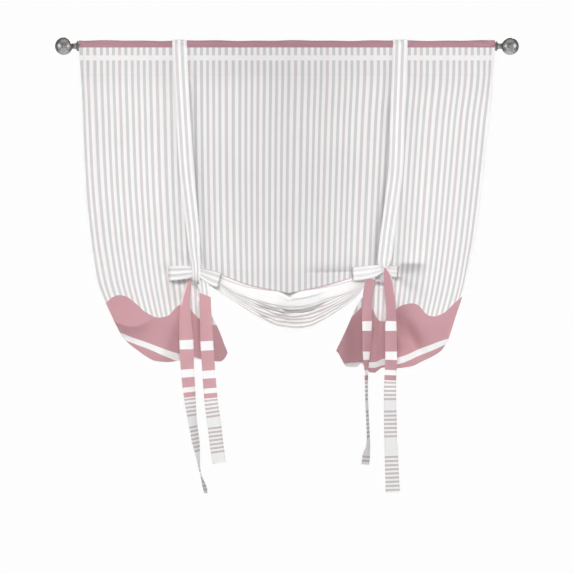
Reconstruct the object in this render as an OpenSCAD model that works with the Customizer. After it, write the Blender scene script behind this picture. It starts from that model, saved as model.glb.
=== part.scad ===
// Tie-up curtain on a telescoping rod.
// X runs along the rod, -Y is the room side, +Z is up.
// The origin is on the rod's axis at mid-width.

/* [Rod] */
// Outside diameter of the outer tube
rod_d = 25.4; // [25:0.1:25.8]
// Wall of both tubes
tube_wall = 0.8; // [0.6:0.1:1.2]
// Radial running clearance between the two tubes
tube_gap = 0.4; // [0.3:0.05:0.6]
// Length of each tube
tube_len = 711; // [680:1:740]
// Distance between the inner faces of the finials
rod_span = 1073; // [1072:1:1090]

/* [Finials] */
// Diameter of the ball
ball_d = 44.6; // [40:0.2:48]
// Diameter of the waisted neck
neck_d = 14; // [12:0.5:16]
// Length of the flared collar
collar_l = 8; // [7:0.5:10]
// Ball centre, measured from the collar's face
ball_off = 36; // [34:0.5:38]
// Diameter of the stud that holds the finial
stud_d = 6; // [5:0.5:6]

/* [Curtain] */
// Finished width of the panel at the rod
panel_w = 1067; // [1060:1:1070]
// Depth of the rod pocket, from its top edge to its stitch line
pocket_depth = 88; // [80:1:96]
// Thickness of the panel's solid
cloth_t = 2.4; // [2:0.1:2.6]
// Half depth of the gathered swag, front to back
swag_depth = 26; // [22:1:28]

/* [Ties] */
// Width of a tie where it is sewn to the pocket
tie_w = 37; // [34:1:40]
// Thickness of a tie's solid
tie_t = 1.6; // [1.2:0.1:1.8]

/* [Hidden] */
$fn = 96;

half_span = rod_span / 2;
outer_id = rod_d - 2 * tube_wall;
inner_od = outer_id - 2 * tube_gap;
inner_id = inner_od - 2 * tube_wall;
plug_l = 18;
stud_in_plug = 14;
stud_in_finial = 14;
neck_r = neck_d / 2;
cove_r = (rod_d / 2 - neck_r);

// pocket section: a loop of cloth round the rod that closes at the stitch line
pocket_r = rod_d / 2 + 2;
pocket_t = 1.6;
seam_z = -(pocket_depth - pocket_r);
tie_r = pocket_r + 0.5 + tie_t / 2;

// ---- helpers -------------------------------------------------------------

// outline of a loop hung on a circle of radius r, closing to radius rs at a depth d
function drop(r, rs, d) =
    let (b = asin((r - rs) / d))
    concat([for (i = [0:24]) let (a = -b + i * (180 + 2 * b) / 24) [r * cos(a), r * sin(a)]],
           [for (i = [0:6]) let (a = 180 + b + i * (180 - 2 * b) / 6) [rs * cos(a), rs * sin(a) - d]]);

// a flat profile in Y and Z, drawn out along X
module along_x(l) { rotate([90, 0, 90]) translate([0, 0, -l / 2]) linear_extrude(l) children(); }

// a solid turned about X, standing on the plane X = 0 and going to +X
module turned() { rotate([0, 90, 0]) rotate_extrude() children(); }

function unit(v) = v / norm(v);
function turn(v, k, a) = v * cos(a) + cross(k, v) * sin(a) + k * (k * v) * (1 - cos(a));

// a flat strip swept along rows of [x, y, z, width, thickness, twist];
// base is the direction of its width
module strip(rows, base = [1, 0, 0]) {
    n = len(rows);
    p = [for (r = rows) [r[0], r[1], r[2]]];
    pts = [for (i = [0:n - 1])
        let (t = unit(p[min(i + 1, n - 1)] - p[max(i - 1, 0)]),
             d0 = unit(base - t * (base * t)),
             d = turn(d0, t, rows[i][5]),
             m = cross(t, d),
             w = rows[i][3] / 2, h = rows[i][4] / 2)
        each [p[i] - d * w - m * h, p[i] + d * w - m * h, p[i] + d * w + m * h, p[i] - d * w + m * h]];
    faces = concat([[0, 1, 2, 3]],
        [for (i = [0:n - 2], k = [0:3]) let (a = 4 * i + k, b = 4 * i + (k + 1) % 4) each [[a, a + 4, b], [b, a + 4, b + 4]]],
        [[4 * n - 1, 4 * n - 2, 4 * n - 3, 4 * n - 4]]);
    polyhedron(pts, faces, convexity = 6);
}

// a rounded solid lofted along X through rows of [x, y, z, half depth, half height]
module bolster(rows, sides = 16) {
    n = len(rows);
    pts = [for (r = rows, k = [0:sides - 1])
        let (a = 360 * k / sides, c = cos(a), s = sin(a), q = pow(pow(abs(c), 2.6) + pow(abs(s), 2.6), -1 / 2.6))
        [r[0], r[1] + r[3] * q * c, r[2] + r[4] * q * s]];
    faces = concat([[for (k = [0:sides - 1]) sides - 1 - k]],
        [for (i = [0:n - 2], k = [0:sides - 1]) let (a = sides * i + k, b = sides * i + (k + 1) % sides)
            each [[a, b, a + sides], [b, b + sides, a + sides]]],
        [[for (k = [0:sides - 1]) sides * (n - 1) + k]]);
    polyhedron(pts, [for (f = faces) [for (i = [len(f) - 1:-1:0]) f[i]]], convexity = 6);
}

// ---- rod and finials -----------------------------------------------------

module tube(od, id, x0) {
    translate([x0, 0, 0]) rotate([0, 90, 0]) difference() {
        cylinder(d = od, h = tube_len);
        translate([0, 0, -1]) cylinder(d = id, h = tube_len + 2);
    }
}

module rod_outer_tube() { color([0.62, 0.61, 0.60]) tube(rod_d, outer_id, -half_span); }
module rod_inner_tube() { color([0.66, 0.65, 0.64]) tube(inner_od, inner_id, half_span - tube_len); }

// plug inside the +X end of a tube whose bore is id; its outer face is flush with the tube's end
module end_plug(id) {
    translate([half_span - plug_l, 0, 0]) rotate([0, 90, 0]) difference() {
        cylinder(d = id, h = plug_l);
        translate([0, 0, plug_l - stud_in_plug]) cylinder(d = stud_d, h = stud_in_plug + 1);
    }
}
module end_plug_left() { color([0.2, 0.2, 0.21]) mirror([1, 0, 0]) end_plug(outer_id); }
module end_plug_right() { color([0.2, 0.2, 0.21]) end_plug(inner_id); }

module finial_stud() {
    translate([half_span - stud_in_plug, 0, 0]) rotate([0, 90, 0]) cylinder(d = stud_d, h = stud_in_plug + stud_in_finial);
}
module finial_stud_left() { color([0.7, 0.7, 0.7]) mirror([1, 0, 0]) finial_stud(); }
module finial_stud_right() { color([0.7, 0.7, 0.7]) finial_stud(); }

// ball, waisted neck and a collar that flares to the rod, turned in one piece
module finial() {
    translate([half_span, 0, 0]) difference() {
        union() {
            turned() difference() {
                square([rod_d / 2, collar_l]);
                translate([rod_d / 2, collar_l]) circle(r = cove_r);
            }
            rotate([0, 90, 0]) cylinder(d = neck_d, h = ball_off - ball_d / 2 + 4);
            translate([ball_off, 0, 0]) sphere(d = ball_d);
        }
        translate([-1, 0, 0]) rotate([0, 90, 0]) cylinder(d = stud_d, h = stud_in_finial + 1);
    }
}
module finial_left() { color([0.60, 0.59, 0.58]) mirror([1, 0, 0]) finial(); }
module finial_right() { color([0.60, 0.59, 0.58]) finial(); }

// ---- panel ---------------------------------------------------------------

// front outline of the panel below the pocket, in X and Z: left edge, left tail,
// slot for the tie, swag edge, slot, right tail, right edge
left_edge = [[-533, -70], [-526, -140], [-522, -260], [-515, -385], [-500, -525], [-487, -600], [-464, -660], [-427, -740]];
left_tail = [[-411, -754], [-360, -794], [-337, -808], [-305, -809], [-240, -803], [-190, -808], [-165, -806], [-154, -790],
             [-172, -740], [-188, -715], [-196, -670], [-199, -624], [-256, -624], [-256, -590]];
swag_edge = [[-205, -586], [-160, -592], [-100, -614], [-44, -626], [4, -633], [40, -628], [95, -616], [164, -596], [222, -586]];
right_tail = [[274, -590], [274, -624], [214, -624], [198, -673], [128, -785], [150, -815], [178, -808], [205, -822], [233, -836],
              [281, -826], [395, -781], [412, -756]];
right_edge = [[431, -698], [450, -641], [469, -554], [485, -446], [498, -323], [513, -261], [521, -138], [533, -70]];

// swag: lower edge in X and Z, and its top line behind the panel
swag_low = [[-252, -602], [-216, -604], [-203, -611], [-188, -621], [-155, -641], [-100, -677], [-55, -704], [-15, -719], [26, -723],
            [54, -719], [95, -700], [137, -674], [179, -641], [205, -615], [222, -604], [236, -603], [270, -602]];
swag_top = [[-252, -572], [-205, -572], [-100, -584], [0, -592], [100, -584], [222, -572], [270, -572]];

module curtain_panel() {
    color([0.93, 0.92, 0.92]) union() {
        along_x(panel_w) difference() {
            polygon(drop(pocket_r, cloth_t / 2, -seam_z));
            polygon(drop(pocket_r - pocket_t, 0.2, -seam_z - 2));
        }
        rotate([90, 0, 0]) translate([0, 0, -cloth_t / 2]) linear_extrude(cloth_t)
            polygon(concat(left_edge, left_tail, swag_edge, right_tail, right_edge));
        bolster([for (p = swag_low)
            let (b = p[1], t = lookup(p[0], swag_top), k = pow(max(0, -602 - b) / (723 - 602), 0.5))
            [p[0], 0, (b + t) / 2, 16 + (swag_depth - 16) * k, (t - b) / 2]]);
    }
}

// ---- ties ----------------------------------------------------------------

// knots of the two bows
knot_l = [-231, -29, -579];
knot_r = [250, -29, -575];
knot_h = [12, 8, 15];

// run of a tie over the pocket and down one side; side is -1 in front and 1 behind.
// drift gives the tie's X at a height, girth its width
function over(side, drift, girth) =
    [for (i = [0:7]) let (a = 89 - i * 89 / 7, y = side * tie_r * cos(a), z = tie_r * sin(a))
        [lookup(z, drift), y, z, lookup(z, girth), tie_t, 0]];
function down(rows, side, drift, girth) =
    [for (r = rows) [lookup(r[1], drift), side * r[0], r[1], lookup(r[1], girth), tie_t, 0]];

front_run = [[16.4, -92], [18, -200], [20, -320], [22, -430], [24, -510], [26.5, -556], [29, -572]];
back_run = [[16.2, -92], [17.4, -300], [18.4, -450], [19.4, -530], [20, -570], [20.5, -590], [19, -601], [13, -607.5], [4, -609.5], [-6, -609.5],
            [-14, -607], [-18.4, -600], [-19.4, -590], [-19.4, -566]];

drift_l = [[-579, -231], [-472, -236], [-318, -257], [-92, -271], [20, -275]];
drift_r = [[-575, 249], [-550, 246], [-472, 260], [-318, 281], [-92, 288], [20, 290]];
girth = [[-572, 20], [-472, 27], [-318, 34], [-92, tie_w - 1], [20, tie_w]];
girth_back = [[-640, 24], [-572, 24], [-472, 28], [-318, 34], [-92, tie_w - 1], [20, tie_w]];
drift_bl = [[-640, -231], [-560, -231], [-472, -236], [-318, -257], [-92, -271], [20, -275]];
drift_br = [[-640, 250], [-560, 250], [-472, 260], [-318, 281], [-92, 288], [20, 290]];

module knot(k) { bolster([for (i = [-4:4]) let (s = i / 4, q = pow(1 - pow(abs(s), 3) * 0.5, 0.5)) [k[0] + knot_h[0] * s, k[1], k[2], knot_h[1] * q, knot_h[2] * q]], 12); }

module tie_front_left() {
    color([0.93, 0.91, 0.91]) union() {
        strip(concat(over(-1, drift_l, girth), down(front_run, -1, drift_l, girth)));
        knot(knot_l);
        strip([[-236, -29, -579, 22, 8, 0], [-248, -29, -580, 30, 8, 0], [-268, -29, -582, 37, 14, 0], [-292, -29, -582, 38, 13, 0], [-302, -29, -582, 37, 5, 0]], [0, 0, 1]);
        strip([[-238, -31, -584, 14, tie_t, 0], [-246, -33, -608, 16, tie_t, 0], [-260, -35, -640, 26, tie_t, 0], [-266, -36, -664, 32, tie_t, 0],
               [-257, -37, -754, 36, tie_t, 0], [-254, -38, -831, 34, tie_t, 10], [-247, -37, -908, 34, tie_t, 35], [-241, -37, -959, 34, tie_t, 52],
               [-233, -37, -1010, 34, tie_t, 58], [-227, -37, -1049, 34, tie_t, 74], [-222, -37, -1087, 32, tie_t, 88],
               [-210, -37, -1128, 28, tie_t, 112], [-207, -37, -1144, 22, tie_t, 112]]);
    }
}

module tie_back_left() {
    color([0.93, 0.91, 0.91]) union() {
        strip(concat(over(1, drift_bl, girth_back), down(back_run, 1, drift_bl, girth_back)));
        strip([[-222, -19.5, -584, 26, tie_t, 0], [-214, -21, -585, 30, 4, 0], [-206, -27, -587, 34, 8, 0], [-196, -29, -590, 36, 12, 0], [-178, -31, -596, 37, 12, 0], [-164, -32, -601, 36, 5, 0]], [0, 0, 1]);
        strip([[-222, -19.4, -588, 16, tie_t, 0], [-215, -24, -612, 20, tie_t, 0], [-210, -31, -651, 25, tie_t, 0], [-205, -36, -754, 32, tie_t, 0],
               [-200, -36, -831, 33, tie_t, 0], [-194, -35, -908, 34, tie_t, 0], [-187, -34, -959, 35, tie_t, 0],
               [-181, -34, -1010, 35, tie_t, 0], [-173, -34, -1068, 34, tie_t, 0]]);
    }
}

module tie_front_right() {
    color([0.93, 0.91, 0.91]) union() {
        strip(concat(over(-1, drift_r, girth), down(front_run, -1, drift_r, girth)));
        knot(knot_r);
        strip([[255, -29, -576, 20, 8, 0], [266, -29, -577, 27, 11, 0], [280, -29, -579, 28, 11, 0], [290, -29, -579, 27, 5, 0]], [0, 0, 1]);
        strip([[254, -31, -580, 14, tie_t, 0], [258, -33, -605, 22, tie_t, 0], [262, -36, -651, 27, tie_t, 0], [264, -38, -715, 29, tie_t, 0],
               [266, -39, -792, 30, tie_t, 0], [264, -38, -843, 30, tie_t, 0], [263, -37, -882, 31, tie_t, 0], [264, -36, -959, 32, tie_t, 0],
               [265, -36, -1010, 33, tie_t, 0], [268, -36, -1087, 35, tie_t, 0], [270, -36, -1142, 36, tie_t, 0]]);
    }
}

module tie_back_right() {
    color([0.93, 0.91, 0.91]) union() {
        strip(concat(over(1, drift_br, girth_back), down(back_run, 1, drift_br, girth_back)));
        strip([[241, -19.5, -577, 26, tie_t, 0], [233, -21, -577, 30, 4, 0], [225, -27, -577, 33, 8, 0], [212, -30, -578, 34, 12, 0], [182, -32, -582, 32, 12, 0], [164, -32, -584, 31, 5, 0]], [0, 0, 1]);
        strip([[241, -19.4, -586, 14, tie_t, 0], [228, -24, -608, 18, tie_t, 0], [212, -31, -640, 25, tie_t, 0], [204, -36, -672, 26, tie_t, 0],
               [205, -36, -715, 30, tie_t, 35], [203, -36, -792, 33, tie_t, 58], [203, -36, -831, 33, tie_t, 72], [204, -35, -908, 33, tie_t, 75],
               [208, -35, -1010, 33, tie_t, 72], [203, -35, -1049, 33, tie_t, 50], [200, -35, -1071, 30, tie_t, 50]]);
    }
}

rod_outer_tube();
rod_inner_tube();
end_plug_left();
end_plug_right();
finial_stud_left();
finial_stud_right();
finial_left();
finial_right();
curtain_panel();
tie_front_left();
tie_back_left();
tie_front_right();
tie_back_right();
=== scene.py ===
"""Tie-up curtain on a telescoping rod: cloth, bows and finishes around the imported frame.

Lengths in the modelling code are millimetres in the part's own frame: X along the rod, -Y towards the
room, Z up, origin on the rod's axis at mid-width.
"""

import bpy
import math
import numpy as np
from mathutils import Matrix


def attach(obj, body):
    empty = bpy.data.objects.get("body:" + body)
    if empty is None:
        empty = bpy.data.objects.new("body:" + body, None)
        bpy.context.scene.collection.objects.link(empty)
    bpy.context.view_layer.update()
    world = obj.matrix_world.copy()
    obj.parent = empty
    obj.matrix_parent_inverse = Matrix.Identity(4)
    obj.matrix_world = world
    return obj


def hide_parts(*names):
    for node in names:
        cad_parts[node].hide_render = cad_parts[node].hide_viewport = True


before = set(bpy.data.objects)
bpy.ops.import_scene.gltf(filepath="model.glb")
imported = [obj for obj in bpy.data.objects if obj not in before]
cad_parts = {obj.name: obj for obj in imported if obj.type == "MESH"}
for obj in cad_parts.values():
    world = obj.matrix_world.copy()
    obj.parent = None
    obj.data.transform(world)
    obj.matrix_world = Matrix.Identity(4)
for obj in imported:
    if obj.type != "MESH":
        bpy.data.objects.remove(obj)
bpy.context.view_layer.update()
MM = 0.001


# ---------------------------------------------------------------- numbers
def curve(points):
    """Monotone cubic through (x, y) points, as a function of an array; flat outside."""
    pts = np.array(sorted(points), float)
    x, y = pts[:, 0], pts[:, 1]
    h = np.diff(x)
    d = np.diff(y) / h
    m = np.zeros_like(y)
    m[0], m[-1] = d[0], d[-1]
    for i in range(1, len(x) - 1):
        if d[i - 1] * d[i] > 0:
            a, b = 2 * h[i] + h[i - 1], h[i] + 2 * h[i - 1]
            m[i] = (a + b) / (a / d[i - 1] + b / d[i])

    def f(q):
        q = np.clip(np.asarray(q, float), x[0], x[-1])
        i = np.clip(np.searchsorted(x, q, side="right") - 1, 0, len(x) - 2)
        t = (q - x[i]) / h[i]
        return (
            y[i] * (1 + 2 * t) * (1 - t) ** 2
            + m[i] * h[i] * t * (1 - t) ** 2
            + y[i + 1] * t * t * (3 - 2 * t)
            + m[i + 1] * h[i] * t * t * (t - 1)
        )

    return f


def ease(a, b, q):
    """0 at a, 1 at b, smooth between, for a above or below b."""
    t = np.clip((np.asarray(q, float) - a) / (b - a), 0, 1)
    return t * t * (3 - 2 * t)


def bell(q, c, w):
    return np.exp(-(((np.asarray(q, float) - c) / w) ** 2))


def through(ctrl, tau):
    """Catmull-Rom along axis -2 of ctrl (..., K, D) at the parameters tau (M,)."""
    k = ctrl.shape[-2]
    i = np.clip(np.floor(tau).astype(int), 0, k - 2)
    t = (tau - i)[:, None]

    def at(j):
        return ctrl[..., np.clip(j, 0, k - 1), :]

    a, b, c, d = at(i - 1), at(i), at(i + 1), at(i + 2)
    return 0.5 * (2 * b + (c - a) * t + (2 * a - 5 * b + 4 * c - d) * t**2 + (3 * b - a - 3 * c + d) * t**3)


# ---------------------------------------------------------------- panel: lie of the cloth
HALF_W = 533.5
SEAM_Z = -73.5
S_EL, S_TL, S_CL = -226.0, -204.0, -170.0  # flat columns: inner edge of the left tail, first and last under the left tie
S_ER, S_TR, S_CR = 244.0, 222.0, 188.0
TIE_L, TIE_R = -246.0, 264.0  # X of the gathered cloth's outer side in the ties
TIE_Z = -575.0

# X of the panel's side edges and of the tails' inner edges against Z
edge_l = curve([(20, -533.5), (-40, -532), (-64, -531), (-138, -526), (-261, -522), (-323, -518.5), (-385, -515), (-446, -509),
                (-523, -500), (-600, -487), (-660, -464), (-738, -427), (-790, -405), (-850, -388)])
inner_l = curve([(-540, -216), (-560, -240), (-577, -254), (-595, -258.5), (-612, -258),
                 (-628, -251), (-645, -233), (-673, -208), (-701, -190), (-716, -181), (-769, -160), (-795, -151), (-850, -138)])
edge_r = curve([(20, 533.5), (-41, 531), (-112, 526), (-190, 518.5), (-264, 510.5), (-343, 501.5), (-436, 490), (-497, 481),
                (-554, 470), (-600, 460.5), (-641, 450), (-698, 431), (-756, 412), (-790, 400), (-850, 384)])
inner_r = curve([(-540, 222), (-560, 250), (-575, 267), (-592, 273), (-607, 272), (-618, 256),
                 (-630, 224), (-648, 191), (-682, 172), (-715, 157), (-750, 141), (-778, 128), (-800, 120), (-850, 110)])
# how far a few flat columns drift sideways as the panel narrows, against Z
drift = [
    (-511.0, curve([(20, 0), (-61, 0), (-190, 4), (-343, 11), (-497, 25.4), (-554, 34.4), (-600, 43), (-660, 62), (-738, 97), (-790, 117), (-850, 132)])),
    (-297.0, curve([(20, 0), (-61, 0), (-190, 2), (-343, 5.4), (-497, 12.6), (-554, 15.9), (-600, 20.5), (-652, 26), (-690, 30), (-738, 35), (-790, 41), (-850, 47)])),
    (-218.0, curve([(20, 0), (-61, 0), (-190, 0.8), (-343, 2.6), (-497, 6.7), (-554, 9.2), (-600, 11.5)])),
    (-72.0, curve([(20, 0), (-61, 0), (-190, -1.0), (-343, -1.8), (-497, -1.2), (-554, -0.4), (-640, 0)])),
    (41.0, curve([(20, 0), (-61, 0), (-190, -2.8), (-343, -5.4), (-497, -7.7), (-554, -8), (-640, -8)])),
    (236.0, curve([(20, 0), (-61, 0), (-190, -6.7), (-343, -13.3), (-497, -20.3), (-554, -23), (-600, -26)])),
    (331.0, curve([(20, 0), (-61, 0), (-190, -8.5), (-343, -18.7), (-497, -28), (-554, -31.8), (-600, -36.2), (-625, -39.2), (-652, -42.3), (-692, -47.5),
                   (-738, -51.3), (-785, -56.4), (-850, -62)])),
    (506.7, curve([(20, 0), (-61, 0), (-190, -14.6), (-343, -29.2), (-497, -45.9), (-554, -54.1), (-600, -61.8), (-625, -67), (-698, -88), (-756, -105), (-850, -132)])),
]

# lower outline of the tails and the line of their white band, Z against X
hem_l = curve([(-445, -728), (-427, -739), (-411, -758), (-386, -778), (-360, -796), (-337, -807), (-305, -810), (-286, -808), (-262, -805),
               (-240, -803), (-215, -804), (-190, -808), (-172, -809), (-160, -801), (-152, -785), (-140, -770)])
white_l = curve([(-445, -733), (-427, -741), (-401, -752.5), (-350, -771), (-320, -783), (-288, -795.5), (-270, -801), (-240, -808), (-215, -815), (-190, -830), (-140, -850)])
hem_r = curve([(105, -770), (128, -783), (140, -803), (150, -820), (163, -823), (182, -822), (190, -812), (203, -830), (219, -838), (233, -836), (246, -822),
               (262, -825), (281, -826), (320, -821), (345, -809), (372, -796), (395, -781), (412, -757), (430, -740)])
white_r = curve([(105, -820), (140, -822), (160, -819), (185, -818), (206, -818), (232, -817), (246, -810), (281, -807.5), (345, -783), (412, -756.5),
                 (430, -750)])
band_l = curve([(-440, 4.0), (-420, 6.4), (-390, 7.0), (-340, 7.6), (-300, 8.8), (-274, 9.6), (-230, 10), (-150, 10)])
band_r = curve([(105, 6.5), (200, 6.5), (281, 8.2), (345, 8.0), (390, 7.2), (412, 5.5), (430, 3)])
# wavy upper edge of the pink border
wave_l = curve([(-500, -676), (-464, -658), (-449, -645), (-431, -638.5), (-415.5, -641), (-388, -660), (-360, -684), (-329, -696.5), (-305, -691.5),
                (-282, -668), (-267, -660), (-256, -663), (-246, -677), (-222, -701), (-190, -714.5), (-170, -719), (-130, -722)])
wave_r = curve([(110, -726), (150, -706), (174.4, -686.7), (190.8, -670), (204, -664), (217, -671.8), (222, -679.5), (230, -696.4), (238, -704.6),
                (248, -706), (262, -698), (277.6, -677.6), (290.6, -666.6), (306.8, -661.5), (318, -660), (330, -661.3), (341, -668.7),
                (354, -685), (364, -691.5), (375, -693.3), (395, -688.2), (409.6, -678.4), (427, -661.3), (451.4, -640.5), (480, -618)])

# the swag: front fold line and lowest line, Z against X
fold_z = curve([(-275, -574), (-246, -574), (-205, -576), (-162, -590), (-100, -613), (-44, -625.5), (-10, -631), (6, -633.5), (20, -631.5), (40, -627.5),
                (95, -615.5), (164, -595), (205, -581), (222, -577), (264, -574), (290, -574)])
low_z = curve([(-275, -603), (-246, -603), (-222, -604), (-205, -610), (-188, -620), (-155, -641), (-100, -677), (-55, -704), (-15, -719), (26, -723),
               (54, -719), (95, -700), (137, -674), (179, -641), (199, -617), (222, -605), (250, -603), (290, -603)])
# creases of the swag: line (X, Z), reach along X (from, to), height, fall above, fall below
creases = [
    (curve([(-190, -602), (-175, -608), (-133, -634), (-79, -652), (-43, -661), (-10, -665)]), -185, -30, 2.4, 11, 9),
    (curve([(-40, -664), (-26, -670), (-16.7, -674), (4, -682.5), (31, -684), (61, -679.5), (88, -664.5), (110, -652)]), -22, 94, -8.5, 11, 13),
    (curve([(-20, -671), (0, -671), (35, -671.5), (76, -667)]), -8, 66, -3.4, 6, 6),
    (curve([(-100, -660), (-76, -666), (-52, -673.5), (-20, -682.5), (1, -691), (25, -696)]), -76, -2, -6.6, 9, 10),
    (curve([(-100, -672), (-79, -682), (-61, -694), (-43, -699), (-20, -704)]), -78, -40, -6.0, 8, 9),
    (curve([(-40, -692), (-17, -699), (16, -703), (40, -702), (70, -695)]), -16, 46, -4.4, 7, 8),
    (curve([(-10, -709), (7, -711), (46, -709.5), (70, -703)]), 2, 52, -3.0, 5, 6),
    (curve([(-60, -707), (-30, -713), (0, -717)]), -50, -4, -2.0, 4, 4),
    (curve([(-10, -656), (10, -651), (46, -645), (70, -639), (110, -626)]), 8, 82, 3.2, 8, 14),
    (curve([(90, -650), (106, -646.5), (160, -631.5), (196, -616)]), 100, 186, 1.8, 9, 8),
    (curve([(60, -690), (76, -685), (136, -664), (175, -640), (195, -622)]), 70, 178, -3.2, 8, 9),
    (curve([(-185, -610), (-148, -635), (-103, -664), (-73, -685)]), -160, -88, -3.0, 9, 9),
    (curve([(60, -704), (100, -690), (150, -660), (185, -630)]), 72, 170, -2.6, 7, 8),
    (curve([(-180, -616), (-140, -646), (-90, -679), (-50, -699)]), -160, -92, -2.6, 7, 8),
    (curve([(-74, -667), (-64, -672), (-38, -685.5), (-26, -690)]), -62, -40, -5.6, 6, 7),
    (curve([(-52, -682), (-43.6, -685.5), (-14, -696), (4, -703.5), (14, -707)]), -36, -4, -5.0, 6, 7),
]

lobes_l = curve([(-75, 0.35), (-58, 0.15), (-46, -0.05), (-34, -0.45), (-21, -0.85), (-9, -0.05), (1, 0.7), (10, 0.35), (18, -0.75), (24, -0.5), (31, 0.45), (45, 1.2), (60, 1.4)])
lobes_r = curve([(-75, 1.7), (-60, 1.5), (-40, 1.0), (-32, 0.6), (-25.5, 0.1), (-20.5, 0.15), (-17.5, 0.4), (-14.5, 0.1), (-10.5, -0.3), (-6.5, 0.1), (-3.5, 0.75), (2, 0.5),
                 (9, -0.05), (20, -0.25), (37, -0.3), (50, -0.2), (64, 0.1), (80, 0.2)])
lip_l = curve([(-500, -676), (-470, -690), (-447, -700), (-436, -708.5), (-419, -715), (-403, -718.7), (-386.5, -718.5), (-370, -713.5), (-354, -705), (-330, -688)])


def crease(d, amp, up, down, soft=0.9):
    """Step of a fold at distance d below its line: the upper side in front for amp > 0, the lower side for amp < 0."""
    t = ease(-soft, soft, d)
    return amp * (-(1 - t) * np.exp(np.minimum(d, 0) / up) + 0.7 * t * np.exp(-np.maximum(d, 0) / down))


def ridge(d, amp, up, down):
    """A fold that stands proud along its line, d below it."""
    return -amp * np.where(d < 0, np.exp(np.minimum(d, 0) / up), np.exp(-np.maximum(d, 0) / down))


def lie_x(s, z):
    """X of flat column s at height z, above the swag and on the tails."""
    s, z = np.broadcast_arrays(np.asarray(s, float), np.asarray(z, float))
    keys = [(-HALF_W, edge_l(z) + HALF_W)] + [(k, f(z)) for k, f in drift] + [(HALF_W, edge_r(z) - HALF_W)]
    x = s.copy()
    for (a, da), (b, db) in zip(keys[:-1], keys[1:]):
        k = (s - a) / (b - a)
        x = np.where((s >= a) & (s <= b), s + da * (1 - k) + db * k, x)
    # towards the tie the tails' inner columns draw in and pass outside it, then fan out
    low = ease(-535, -580, z)
    for a, guide, inner, t in ((S_EL, drift[1], inner_l(z), S_TL), (S_ER, drift[6], inner_r(z), S_TR)):
        g, f = guide
        k = (s - g) / (a - g)
        fan = (g + f(z)) * (1 - k) + inner * k
        use = (k > 0) & (k <= 1)
        soft_k = np.clip(k / 0.25, 0, 1)
        x = np.where(use, x + (fan - x) * low * soft_k, x)
        # columns between the tail and the tie
        q = (s - a) / (t - a)
        use = (q > 0) & (q < 1)
        x = np.where(use, x + (inner - x) * low * (1 - ease(0, 1, q)), x)
    return x


def tail_y(x, z, side):
    """Depth of a tail's cloth: flutes that fan out from the tie, and soft cross folds."""
    cx, cz = (-250.0, -600.0) if side < 0 else (264.0, -602.0)
    dx, dz = x - cx, -(z - cz)
    r = np.hypot(dx, dz)
    ang = np.degrees(np.arctan2(dx, np.maximum(dz, 1e-6)))
    out = ease(-600, -660, z)
    if side < 0:
        y = 16 * ease(40, 170, r) * lobes_l(ang) * out
        w = ease(-475, -440, x) * ease(-325, -375, x)
        d = lip_l(x) - z
        y += w * (ridge(d, 10.0, 40, 24) + 4 * ease(0, 40, d))
        # the lobe inside the ties turns away to the right
        y += (out * (-12 + 30 * ease(-222, -148, x)) - y) * ease(-232, -214, x)
        y -= 4 * bell(x, -330, 80) * bell(z, -785, 22)
        y += 6 * ease(-372, -425, x) * ease(-725, -750, z)
    else:
        y = 17 * ease(35, 150, r) * lobes_r(ang) * out
        across = (x - 312) * 0.832 + (z + 737) * 0.555
        along = (x - 312) * 0.555 - (z + 737) * 0.832
        y += (17 * bell(across, -2, 17) - 8 * bell(across, 36, 22)) * bell(along, 4, 52)
        y += (out * (8 - 24 * ease(208, 134, x)) - y) * ease(226, 190, x)
        y -= 4 * bell(x, 385, 50) * bell(z, -720, 34)
        y += 6 * ease(362, 412, x) * ease(-750, -778, z)
    return y


def gather_y(x, z):
    """Small pleats that run into each tie."""
    y = 0.0
    for cx, cz, sign, amp in ((-250.0, -585.0, -1, 2.8), (268.0, -585.0, 1, 3.0)):
        dx, dz = (x - cx) * sign, z - cz
        r = np.hypot(dx, dz)
        ang = np.degrees(np.arctan2(-dz, np.maximum(dx, 1e-3)))
        w = bell(r, 58, 36) * ease(0, 14, dx)
        y = y + amp * w * np.cos(np.radians(ang * 7.5 + 40))
    return y


# line beside each strap's inner edge, X against Z
tuck_l = curve([(-92, -249), (-143, -246.8), (-215, -243.7), (-395, -230.3), (-523, -222.9), (-536, -221.1), (-569, -219.3), (-600, -219)])
tuck_r = curve([(-92, 266), (-190, 262.4), (-305, 259), (-369, 252), (-420, 246), (-472, 238.5), (-523, 233.4), (-559, 230.6), (-600, 230)])


def ridge_w(x):
    return ease(278, 300, x) * ease(366, 332, x)


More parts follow.
